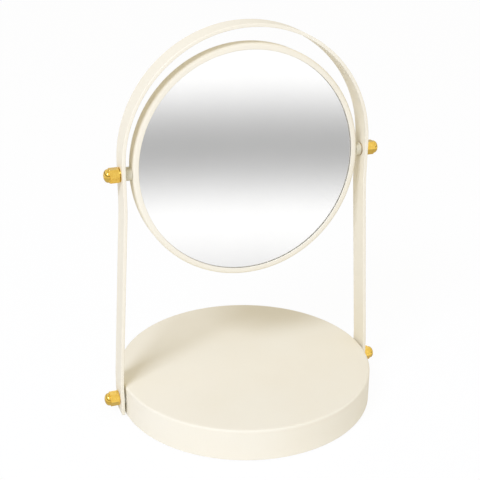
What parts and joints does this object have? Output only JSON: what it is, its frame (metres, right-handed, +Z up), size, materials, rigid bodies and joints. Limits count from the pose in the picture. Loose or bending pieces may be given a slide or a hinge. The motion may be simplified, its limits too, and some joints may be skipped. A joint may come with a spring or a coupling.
{
  "type": "vanity mirror",
  "caption": "Round framed mirror that turns on side pivots in an arched flat-bar stand, bolted to a flat-topped round base.",
  "frame": {"origin": "centre of the round base, on the surface that it rests on", "axes": "+X along the pivot axis to the viewer's right, -Y the way the glass looks, +Z up"},
  "size_m": [0.23, 0.2, 0.2974],
  "materials": {
    "cream_paint": "satin powder coat",
    "polished_brass": "polished and lacquered",
    "bush_brass": "turned",
    "zinc_steel": "zinc plated",
    "mirror_glass": "silvered on the back",
    "foam": "closed-cell foam",
    "hardboard": "smooth hardboard",
    "base_pad": "matte foam rubber"
  },
  "bodies": {
    "stand": {"base_shell": "cream_paint", "base_floor_plate": "zinc_steel", "base_plate_brackets": "zinc_steel", "base_plate_screws": "zinc_steel", "base_pad": "base_pad", "arch_strap": "cream_paint", "left_base_saddle": "zinc_steel", "right_base_saddle": "zinc_steel", "left_base_screw": "zinc_steel", "right_base_screw": "zinc_steel", "left_base_spacer": "zinc_steel", "right_base_spacer": "zinc_steel", "left_base_cap_nut": "polished_brass", "right_base_cap_nut": "polished_brass", "left_pivot_bush": "bush_brass", "right_pivot_bush": "bush_brass"},
    "mirror_head": {"mirror_frame": "cream_paint", "mirror_glass": "mirror_glass", "glass_foam_pad": "foam", "backing_board": "hardboard", "back_cover": "cream_paint", "left_pivot_boss": "cream_paint", "right_pivot_boss": "cream_paint", "left_pivot_stud": "zinc_steel", "right_pivot_stud": "zinc_steel", "left_pivot_washer": "polished_brass", "right_pivot_washer": "polished_brass", "left_pivot_cap_nut": "polished_brass", "right_pivot_cap_nut": "polished_brass"}
  },
  "joints": [
    {"name": "mirror_tilt", "type": "hinge", "parent": "stand", "child": "mirror_head", "pos_m": [0, 0, 0.195], "axis": [1, 0, 0], "continuous": true}
  ]
}
